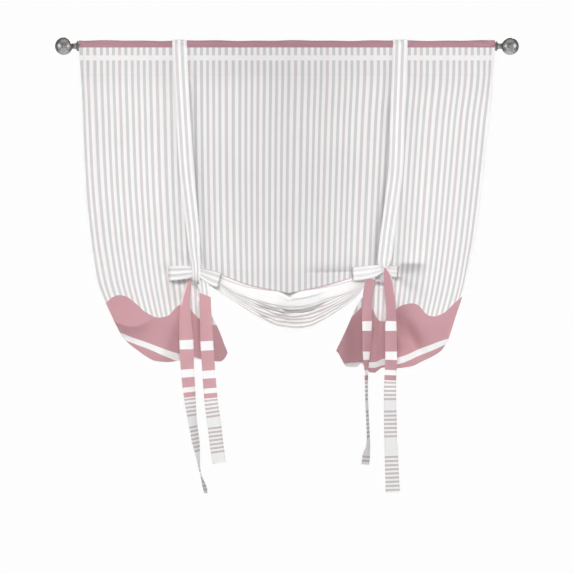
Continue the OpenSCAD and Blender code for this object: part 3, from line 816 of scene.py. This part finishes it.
def tie_material(name, reverse, scale, lead, slant, rim):
    """Tie print: stripes along the strap and loops, then pink, white bands and cross stripes down the tail."""
    n = Nodes(name)
    uvv, u, v = n.uv()
    w = n.attr("tail_v")
    mask = 0.0
    for c in (-8.6, 6.2):
        m = n.step(n.math("ABSOLUTE", n.sub(u, c)), 5.0, 2.8, 0.0, 0.85)
        mask = m if isinstance(mask, float) else n.math("MAXIMUM", mask, m)

    def window(a, b):
        return n.mul(n.step(w, a * scale - 0.5, a * scale + 0.5), n.step(w, b * scale + 0.5, b * scale - 0.5))

    def either(items):
        t = None
        for a, b in items:
            k = window(a, b)
            t = k if t is None else n.math("MAXIMUM", t, k)
        return t

    ws = n.sub(w, n.mul(u, slant))
    tail = n.step(ws, lead - 0.5, lead + 0.5)
    mask = n.mul(mask, n.sub(1.0, tail))
    mask = n.mul(mask, n.sub(1.0, n.mul(n.attr("loop"), 0.5 if "right" in name else 0.12)))
    whites = either([(0, 24), (75, 95.5), (120.5, 133.5)])
    rose_zone = n.mul(tail, n.step(w, 146.5 * scale, 145.5 * scale))
    cross, rnd = stripes(n, w, 10.2 * scale, 146.5 * scale, 5.1)
    lines = n.mul(cross, either([(148, 197), (218, 289), (330, 424)]))
    mask = n.math("MAXIMUM", mask, lines)
    mask = n.mul(mask, 0.85 if reverse else 1.0)
    grey = n.mix(n.step(n.noise(n.vec(n.mul(u, 0.05), n.mul(v, 0.004)), 1.0), 0.42, 0.62), GREY, GREYPINK)
    grey = n.mix(n.mul(lines, 0.75), grey, (0.655, 0.572, 0.566))
    col = n.mix(mask, CLOTH_TIE, grey)
    # painted shade: the right ties' pink is a darker copy of the same pink
    rose = (0.575, 0.316, 0.352) if "right" in name else (0.655, 0.364, 0.398)
    rose = tuple(0.55 * a + 0.45 * b for a, b in zip(rose, CLOTH_TIE)) if reverse else rose
    col = n.mix(n.mul(rose_zone, n.sub(1.0, whites)), col, rose)
    if rim:
        side, width, until = rim
        edge = n.mul(n.step(n.mul(u, side), 18.5 - width - 0.8, 18.5 - width + 0.8), n.step(w, until + 10.0, until - 10.0))
        col = n.mix(n.mul(n.mul(edge, tail), 0.8), col, (0.90, 0.80, 0.80))
    # painted shade along the loops' edges and round their turned ends
    col = n.mix(n.mul(n.attr("loop_edge_shade"), 0.85), col, (0.27, 0.22, 0.23))
    st = stitch(n, n.sub(n.math("ABSOLUTE", u), 16.4), v)
    col = n.mix(n.mul(st, 0.45), col, (0.62, 0.57, 0.57))
    nor, slub, tone = weave(n, uvv, u, v, 0.0016)
    nor = n.bump(n.mul(st, -1.0), 0.5, 0.0005, nor)
    # painted shade: the hanging ends are greyer towards their bottoms, more so on the front left and back right ties
    painted_shade = n.step(w, 130.0 * scale, 200.0 * scale, 1.0, 0.87)
    if "front_left" in name:
        painted_shade = n.mul(painted_shade, n.step(w, 250.0, 370.0, 1.0, 0.90))
    if "back_right" in name:
        painted_shade = n.mul(painted_shade, n.step(w, 120.0, 250.0, 1.0, 0.90))
    cloth_finish(n, col, slub, tone, nor, painted_shade)
    return n.mat


def metal_material(name, base, rough, grain, shade_rings=()):
    n = Nodes(name)
    p = n.obj()
    s = n.t.nodes.new("ShaderNodeSeparateXYZ")
    n.t.links.new(p, s.inputs[0])
    around = n.math("ARCTAN2", s.outputs[1], s.outputs[2])
    fine = n.noise(n.vec(n.mul(s.outputs[0], 2600.0 * grain), n.mul(around, 3.0)), 1.0, 3.0, 0.65)
    blot = n.noise(p, 60.0, 3.0, 0.55)
    col = n.mix(n.step(blot, 0.3, 0.75), tuple(c * 0.86 for c in base), base)
    col = n.mix(n.step(fine, 0.35, 0.75, 0.0, 0.25), col, tuple(min(1, c * 1.25) for c in base))
    # painted shade: dark rings in the finial's neck and at the collar's edge
    for c, half, k in shade_rings:
        ring = n.step(n.math("ABSOLUTE", n.sub(n.math("ABSOLUTE", s.outputs[0]), c)), half, 0.3 * half, 0.0, k)
        col = n.mix(ring, col, tuple(0.2 * b for b in base))
    n.link(col, n.bsdf.inputs["Base Color"])
    n.bsdf.inputs["Metallic"].default_value = 1.0
    n.link(n.add(n.step(fine, 0.3, 0.8, rough - 0.05, rough + 0.08), n.step(blot, 0.4, 0.8, 0.0, 0.06)), n.bsdf.inputs["Roughness"])
    n.link(n.bump(fine, 0.10, 0.0002, n.bump(blot, 0.06, 0.0006)), n.bsdf.inputs["Normal"])
    return n.mat


def plastic_material(name):
    n = Nodes(name)
    p = n.obj()
    grit = n.noise(p, 1800.0, 2.0, 0.6)
    tone = n.noise(p, 90.0, 2.0, 0.5)
    n.link(n.mix(tone, (0.012, 0.012, 0.013), (0.022, 0.022, 0.024)), n.bsdf.inputs["Base Color"])
    n.link(n.step(grit, 0.3, 0.7, 0.42, 0.58), n.bsdf.inputs["Roughness"])
    n.link(n.bump(grit, 0.15, 0.0002), n.bsdf.inputs["Normal"])
    return n.mat


# ---------------------------------------------------------------- panel object
fx, fz = np.abs(S), None
thick = np.full((NC, NR), 0.9)
thick = np.where((np.abs(S) > 522.4)[:, None], 2.0, thick)
hem_step = np.where(to_hem < 16.5, 1.9, 0.9)
thick = np.maximum(thick, np.where(np.abs(V) < 1.5, 0.6, hem_step))
tight = (row >= R1)[None, :] & in_mid[:, None]
thick = np.where(tight & (to_hem > 16.5), 0.8, thick)

both = {
    "pink": np.concatenate([PINK.ravel()] * 2),
    "white": np.concatenate([WHITE.ravel()] * 2),
    "zone": np.concatenate([ZONE.ravel()] * 2),
    "fade": np.concatenate([FADE.ravel()] * 2),
    "along_v": np.concatenate([SV.ravel()] * 2),
    "to_hem": np.concatenate([to_hem.ravel()] * 2),
    "fold": np.concatenate([EDGE.ravel()] * 2),
    # the reverse carries a weaker copy of the painted shade
    "shade": np.concatenate([SHADE.ravel(), (0.30 * SHADE + 0.69).ravel()]),
}
uv1 = np.stack([U.ravel(), V.ravel()], -1) * MM
panel = shell_from_grid("panel_cloth", P, thick, both, np.concatenate([uv1, uv1]),
                        [panel_material("panel_face", False), panel_material("panel_reverse", True)])
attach(panel, "curtain")
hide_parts("curtain_panel")


# ---------------------------------------------------------------- ties
def strip(ctrl, step=4.5, nw=12, bulge=0.0, pleat=None, u_sign=1.0, tail_z=None, roll=0.0, rim=1.0):
    """One run of tie. ctrl rows: x, y, z, width, direction of the width (3). Returns a grid, its flat u and v and its tail length."""
    c = np.array(ctrl, float)
    k = len(c)
    d = through(c, np.linspace(0, k - 1, 24 * (k - 1) + 1))
    run = np.concatenate([[0], np.cumsum(np.linalg.norm(np.diff(d[:, :3], axis=0), axis=1))])
    n = max(6, int(round(run[-1] / step)))
    at = np.linspace(0, run[-1], n + 1)
    q = np.stack([np.interp(at, run, d[:, j]) for j in range(d.shape[1])], -1)
    T = np.gradient(q[:, :3], axis=0)
    T /= np.linalg.norm(T, axis=1, keepdims=True)
    D = q[:, 4:7] - np.sum(q[:, 4:7] * T, 1, keepdims=True) * T
    D /= np.linalg.norm(D, axis=1, keepdims=True)
    N = np.cross(T, D)
    t = np.linspace(-1, 1, nw + 1)
    w = q[:, 3]
    bul = bulge(at / run[-1]) if callable(bulge) else np.full(n + 1, bulge)
    off = bul[:, None] * (1 - t[None, :] ** 2)
    if pleat is not None:
        amp, waves = pleat
        off = off + amp(at / run[-1])[:, None] * np.cos(np.pi * waves * t)[None, :]
    if roll:
        off = off - roll * np.abs(t[None, :]) ** 6
    G = q[:, None, :3] + D[:, None, :] * (0.5 * w[:, None] * t[None, :])[..., None] + N[:, None, :] * off[..., None]
    u = np.broadcast_to(18.5 * u_sign * t[None, :], G.shape[:2])
    v = np.broadcast_to(at[:, None], G.shape[:2])
    if tail_z is None:
        tv = np.full(G.shape[:2], -2000.0)
    else:
        z0 = np.interp(-tail_z, -q[:, 2], at)
        tv = v - z0
    # painted shade: darker along a loop's edges and round its turned end
    le = np.zeros(G.shape[:2])
    if u_sign < 0:
        end = at[int(np.argmax(np.abs(q[:, 0] - q[0, 0])))]
        le = rim * np.maximum(0.55 * ease(0.88, 0.98, np.abs(t))[None, :], bell(at, end + 3.4, 2.6)[:, None])
    return G, u, v, tv, le


def tie_object(name, runs, mats, thick=1.0):
    """Joins several strips into one closed cloth piece."""
    verts, faces, parts, us, vs, ts = [], [], [[], [], []], [], [], []
    base = 0
    allv, alluv, alltv, allle, allin = [], [], [], [], []
    f_face, f_back, f_rim = [], [], []
    for G, u, v, tv, le in runs:
        nl, nw = G.shape[:2]
        du = np.gradient(G, axis=1)
        dv = np.gradient(G, axis=0)
        n = np.cross(dv, du)
        n /= np.maximum(np.linalg.norm(n, axis=2, keepdims=True), 1e-9)
        off = nl * nw
        allv += [(G + n * thick * 0.5).reshape(-1, 3), (G - n * thick * 0.5).reshape(-1, 3)]
        uvp = np.stack([u.ravel(), v.ravel()], -1)
        alluv += [uvp, uvp]
        alltv += [tv.ravel(), tv.ravel()]
        allle += [le.ravel(), le.ravel()]
        allin += [np.full(2 * off, float(le.max() > 0))]
        idx = np.arange(off).reshape(nl, nw) + base
        a, b, c, d = idx[:-1, :-1], idx[1:, :-1], idx[1:, 1:], idx[:-1, 1:]
        quad = np.stack([a, b, c, d], -1).reshape(-1, 4)
        f_face.append(quad)
        f_back.append(quad[:, ::-1] + off)
        for line in (idx[0, :], idx[:, -1], idx[-1, ::-1], idx[::-1, 0]):
            p, q = line[:-1], line[1:]
            f_rim.append(np.stack([p, q, q + off, p + off], -1))
        base += 2 * off
    face, back, rim = np.concatenate(f_face), np.concatenate(f_back), np.concatenate(f_rim)
    V_ = np.concatenate(allv) * MM
    ob = build(name, V_, np.concatenate([face, back, rim]), [len(face), len(back), len(rim)],
               {"tail_v": np.concatenate(alltv), "loop_edge_shade": np.concatenate(allle), "loop": np.concatenate(allin)}, np.concatenate(alluv) * MM, mats)
    return ob


XD = (1, 0, 0)
ZD = (0, 0, 1)


def over(side, x, w, r=16.0):
    return [(x, side * r * math.cos(math.radians(a)), r * math.sin(math.radians(a)), w, *XD) for a in (88, 70, 50, 30, 12, 0)]


def turned(rows):
    return [(*r[:4], math.cos(math.radians(r[4] if len(r) > 4 else 0)), math.sin(math.radians(r[4] if len(r) > 4 else 0)), 0) for r in rows]


def loop_rows(rows, tilt=0.0):
    return [(*r[:4], math.sin(math.radians(r[4] if len(r) > 4 else tilt)), 0, math.cos(math.radians(r[4] if len(r) > 4 else tilt))) for r in rows]


def pinch_ends(amp, span=0.16):
    return (lambda f: amp * (np.exp(-(f / span) ** 2) + np.exp(-((1 - f) / span) ** 2)), 3)


def pinch_end(amp, span=0.10):
    return (lambda f: amp * np.exp(-((1 - f) / span) ** 2), 3)


# straps: down the front, and down the back and under the gathered cloth
strap_fl = over(-1, -275, 37) + [(x, y, z, w, *XD) for x, y, z, w in (
    (-271, -15.6, -92, 37), (-265, -15, -200, 36.5), (-257.8, -15.5, -318, 35.5), (-249, -17, -400, 35), (-241, -19.5, -472, 32.5), (-236.5, -22.5, -530, 29),
    (-233, -26.5, -556, 24.5), (-232, -31, -570, 22), (-232, -33, -582, 21), (-232, -31.5, -594, 20), (-232, -26.5, -602, 18), (-232, -21.5, -602, 16), (-232, -18, -596, 14))]
strap_fr = over(-1, 290, 37) + [(x, y, z, w, *XD) for x, y, z, w in (
    (287, -15.6, -92, 37), (283, -15, -200, 36.5), (278.5, -15.5, -318, 36), (268.5, -17, -400, 36), (259, -19.5, -472, 35.5), (253, -22.5, -520, 35.5),
    (250, -25.5, -545, 34.5), (249, -28.8, -559, 29), (249.5, -31.5, -569, 13), (250.5, -30, -578, 9), (250.5, -26, -584, 9), (250, -22, -584, 9))]
back_run = ((16.2, -92), (17.4, -300), (18.4, -450), (19.4, -530), (20, -570), (20.3, -590), (18.6, -602), (12.5, -608.3), (4, -609.6), (-6, -609.6),
            (-14, -607), (-18.6, -600), (-20.5, -590), (-23, -580))
strap_bl = over(1, -275, 37) + [(float(np.interp(-z, (92, 318, 472, 560), (-271, -257, -236, -231))), y, z, float(np.interp(-z, (92, 318, 472, 572), (37, 34, 28, 23))), *XD)
                                for y, z in back_run]
strap_br = over(1, 290, 37) + [(float(np.interp(-z, (92, 318, 472, 560), (288, 281, 260, 250))), y, z, float(np.interp(-z, (92, 318, 472, 572), (37, 34, 28, 23))), *XD)
                               for y, z in back_run]

# bow loops: out along the back layer, round the end, back along the front layer
loop_fl = loop_rows([(-231, -21, -580, 20), (-246, -15.5, -580, 29), (-266, -11, -581, 34), (-288, -8.6, -582, 36.5), (-299, -8.4, -582.5, 36.5), (-303, -10.6, -582.5, 34),
                     (-299.5, -13.2, -582.3, 36.5), (-284, -15.4, -582, 36.5), (-266, -19, -580.5, 35), (-250, -24, -579.5, 31), (-240, -26.5, -579, 27), (-232, -25.5, -579, 23)])
loop_bl = loop_rows([(-230, -23, -580, 20, 4), (-217, -20.2, -583, 26, 8), (-198, -18.6, -589.5, 31, 14), (-183, -18.2, -595.5, 35, 21), (-172.5, -19, -600, 36, 27), (-168, -21.5, -601, 33, 29),
                     (-172.5, -24.2, -600.5, 37, 27), (-184, -26.4, -597, 38, 21), (-198, -28.4, -591.5, 34.5, 15), (-213, -29.4, -585, 28, 8), (-223, -29.2, -581, 24, 4), (-231, -26.2, -579, 21, 0)])
loop_br = loop_rows([(250, -22, -573, 18), (236, -19.6, -575, 24), (214, -18.4, -579, 31, -3), (190, -18, -582, 34, -8), (170.8, -18.8, -584, 34, -13), (165.4, -21.5, -584, 30, -14),
                     (170.3, -24.4, -584, 35, -13), (188, -27, -582.5, 35.5, -8), (210, -28.8, -579.5, 34, -3), (230, -29.4, -575.5, 28), (241, -28.8, -573, 22), (250, -25.8, -572, 17)])
loop_fr = loop_rows([(248, -21.5, -575, 18), (258, -16.5, -576, 23), (272, -12, -577.5, 28, 4), (282, -9.6, -578.5, 29, 9), (287, -11.8, -578.5, 25, 10),
                     (283, -14.4, -578.5, 29.5, 9), (272, -18.6, -577.5, 28.5, 4), (260, -24, -576, 24), (250, -25.6, -575, 19)])

tail_fl = turned([(-246.5, -20, -601, 3), (-249, -23, -606, 7), (-251.5, -27, -613, 11), (-256, -32, -632, 18), (-260, -36, -655, 23.5), (-260, -38, -690, 29), (-257, -38, -754, 35.5),
                  (-254, -38, -831, 34, 10), (-247, -37, -908, 34, 35), (-241, -37, -959, 34, 52), (-233, -37, -1010, 34, 58), (-227, -37, -1049, 34, 74),
                  (-222, -37, -1087, 32, 88), (-210, -37, -1128, 28, 112), (-207, -37, -1144, 22, 112)])
tail_bl = turned([(-224, -24.5, -576, 12), (-218, -25, -590, 17), (-211.8, -28, -612, 23.5), (-209, -32, -642, 27.2), (-207.5, -36, -690, 29.3), (-205, -36.5, -754, 32.5),
                  (-200, -36, -831, 33), (-194, -35, -908, 34), (-187, -34, -959, 35), (-181, -34, -1010, 35), (-173, -34, -1068, 34)])
tail_fr = turned([(250.5, -32.5, -569, 3), (252, -34, -575, 7), (254, -35, -583, 14), (257.5, -36, -596, 21.5), (260.5, -37, -614, 25), (264, -38.5, -651, 25), (266, -39, -690, 24.5), (265, -39, -715, 28),
                  (266, -39, -792, 30), (264, -38, -843, 30), (263, -37, -882, 31), (264, -36, -959, 32), (265, -36, -1010, 33), (268, -36, -1087, 35), (270, -36, -1142, 36)])
tail_br = turned([(224, -22.5, -574, 14), (218, -24, -586, 20), (213.5, -26.5, -598, 23.5), (208.5, -31, -622, 24), (205, -34.5, -652, 24.5), (204, -36.5, -690, 25.5, 12), (204.5, -36, -715, 29, 32),
                  (203, -36, -792, 32, 56), (203, -36, -831, 33, 72), (204, -35, -908, 33, 77), (208, -35, -1010, 33, 74), (203, -35, -1049, 33, 52), (200, -35, -1071, 30, 50)])

soft_bulge = lambda a: (lambda f: a * np.sin(np.pi * f))
ties = (
    ("tie_front_left", 1.0, -168.0, 0.0, (-1.0, 9.0, -92.0), [
        strip(strap_fl, pleat=(lambda f: 1.6 * ease(0.74, 0.92, f), 3), roll=0.5),
        strip(loop_fl, step=3, bulge=soft_bulge(1.6), pleat=pinch_ends(1.7), u_sign=-1.0, rim=0.35),
        strip(tail_fl, bulge=0.8, roll=0.6, tail_z=-753)]),
    ("tie_back_left", 1.0, -118.0, 0.33, None, [
        strip(strap_bl, pleat=(lambda f: 1.0 * ease(0.70, 0.85, f), 3), roll=0.5),
        strip(loop_bl, step=2, bulge=soft_bulge(1.6), pleat=pinch_ends(1.7), u_sign=-1.0),
        strip(tail_bl, bulge=0.8, roll=0.6, tail_z=-756)]),
    ("tie_front_right", 1.035, -150.0, 0.0, (1.0, 4.5, -70.0), [
        strip(strap_fr, pleat=(lambda f: 1.4 * ease(0.74, 0.90, f), 3), roll=0.5),
        strip(loop_fr, step=2, bulge=soft_bulge(1.4), pleat=pinch_ends(1.5), u_sign=-1.0),
        strip(tail_fr, bulge=0.8, roll=0.6, tail_z=-705)]),
    ("tie_back_right", 1.035, -110.0, 0.0, None, [
        strip(strap_br, pleat=(lambda f: 1.0 * ease(0.70, 0.85, f), 3), roll=0.5),
        strip(loop_br, step=2, bulge=soft_bulge(1.6), pleat=pinch_ends(1.8), u_sign=-1.0),
        strip(tail_br, bulge=0.8, roll=0.6, tail_z=-705)]),
)
for name, scale, lead, slant, rim, runs in ties:
    ob = tie_object(name + "_cloth", runs, [tie_material(name + "_face", False, scale, lead, slant, rim), tie_material(name + "_reverse", True, scale, lead, slant, None)])
    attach(ob, "curtain")
    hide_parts(name)
    length = sum(float(r[2][-1, 0]) for r in runs)

# ---------------------------------------------------------------- rod and finials
nickel = metal_material("rod_nickel", (0.44, 0.43, 0.415), 0.34, 1.0)
finial = metal_material("finial_nickel", (0.64, 0.632, 0.618), 0.42, 0.4, ((0.5496, 0.0034, 0.75), (0.5364, 0.0026, 0.7)))
zinc = metal_material("stud_zinc", (0.55, 0.56, 0.58), 0.40, 1.0)
black = plastic_material("plug_plastic")
for node, mat in (("rod_outer_tube", nickel), ("rod_inner_tube", nickel), ("end_plug_left", black), ("end_plug_right", black),
                  ("finial_stud_left", zinc), ("finial_stud_right", zinc), ("finial_left", finial), ("finial_right", finial)):
    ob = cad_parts[node]
    if not ob.material_slots:
        ob.data.materials.append(mat)
    for sl in ob.material_slots:
        sl.material = mat

# ---------------------------------------------------------------- stage
floor_me = bpy.data.meshes.new("floor")
fx0, fx1, fy0, fy1, fz0 = -2.7, 2.7, -3.1, 2.6, -1.65
floor_me.from_pydata([(fx0, fy0, fz0), (fx1, fy0, fz0), (fx1, fy1, fz0), (fx0, fy1, fz0)], [], [(0, 1, 2, 3)])
floor = bpy.data.objects.new("floor", floor_me)
bpy.context.scene.collection.objects.link(floor)
nf = Nodes("floor_matte")
tone = nf.noise(nf.obj(), 3.0, 3.0, 0.5)
nf.link(nf.mix(tone, (0.90, 0.90, 0.90), (0.93, 0.93, 0.925)), nf.bsdf.inputs["Base Color"])
nf.bsdf.inputs["Roughness"].default_value = 0.8
floor_me.materials.append(nf.mat)

world = bpy.data.worlds.new("studio")
bpy.context.scene.world = world
world.use_nodes = True
wt = world.node_tree
wt.nodes.clear()
wo = wt.nodes.new("ShaderNodeOutputWorld")
lp = wt.nodes.new("ShaderNodeLightPath")
mixw = wt.nodes.new("ShaderNodeMixShader")
amb = wt.nodes.new("ShaderNodeBackground")
amb.inputs[0].default_value = (1.0, 0.995, 0.99, 1)
amb.inputs[1].default_value = 0.105
cam_bg = wt.nodes.new("ShaderNodeBackground")
cam_bg.inputs[0].default_value = (0.985, 0.985, 0.985, 1)
cam_bg.inputs[1].default_value = 1.0
wt.links.new(lp.outputs["Is Camera Ray"], mixw.inputs[0])
wt.links.new(amb.outputs[0], mixw.inputs[1])
wt.links.new(cam_bg.outputs[0], mixw.inputs[2])
wt.links.new(mixw.outputs[0], wo.inputs[0])


def area_light(name, loc, target, size, power, spread=180.0):
    li = bpy.data.lights.new(name, "AREA")
    li.shape = "RECTANGLE"
    li.size, li.size_y = size
    li.energy = power
    li.spread = math.radians(spread)
    ob = bpy.data.objects.new(name, li)
    ob.location = loc
    d = np.array(target) - np.array(loc)
    from mathutils import Vector
    ob.rotation_euler = Vector(d).to_track_quat("-Z", "Y").to_euler()
    bpy.context.scene.collection.objects.link(ob)
    return ob


key = area_light("key", (0.0, -4.9, 2.35), (0.0, 0.0, -0.6), (2.2, 1.8), 14.6, 44.0)
key.visible_glossy = False
area_light("front_fill", (0.3, -4.8, -0.5), (0.0, 0.0, -0.6), (2.4, 2.0), 14)
area_light("left_box", (-4.0, -2.1, 0.1), (0.0, 0.0, -0.4), (1.6, 2.0), 42)
area_light("right_box", (4.0, -2.1, 0.1), (0.0, 0.0, -0.4), (1.6, 2.0), 42)
area_light("top_box", (0.0, -1.2, 2.6), (0.0, -0.9, -1.65), (4.5, 3.0), 20)
area_light("back_fill", (0.6, 3.0, 0.9), (0.0, 0.0, -0.5), (2.0, 1.6), 75)

cam = bpy.data.cameras.new("camera")
cam.sensor_fit = "HORIZONTAL"
cam.sensor_width = 36.0
cam.lens = 195.95
cam.clip_end = 60
cam_ob = bpy.data.objects.new("camera", cam)
cam_ob.location = (-0.0013, -8.0, -0.6166)
cam_ob.rotation_euler = (math.radians(90), 0, 0)
bpy.context.scene.collection.objects.link(cam_ob)
bpy.context.scene.camera = cam_ob
bpy.context.scene.view_settings.view_transform = "Standard"
bpy.context.scene.view_settings.look = "None"

bpy.context.view_layer.update()
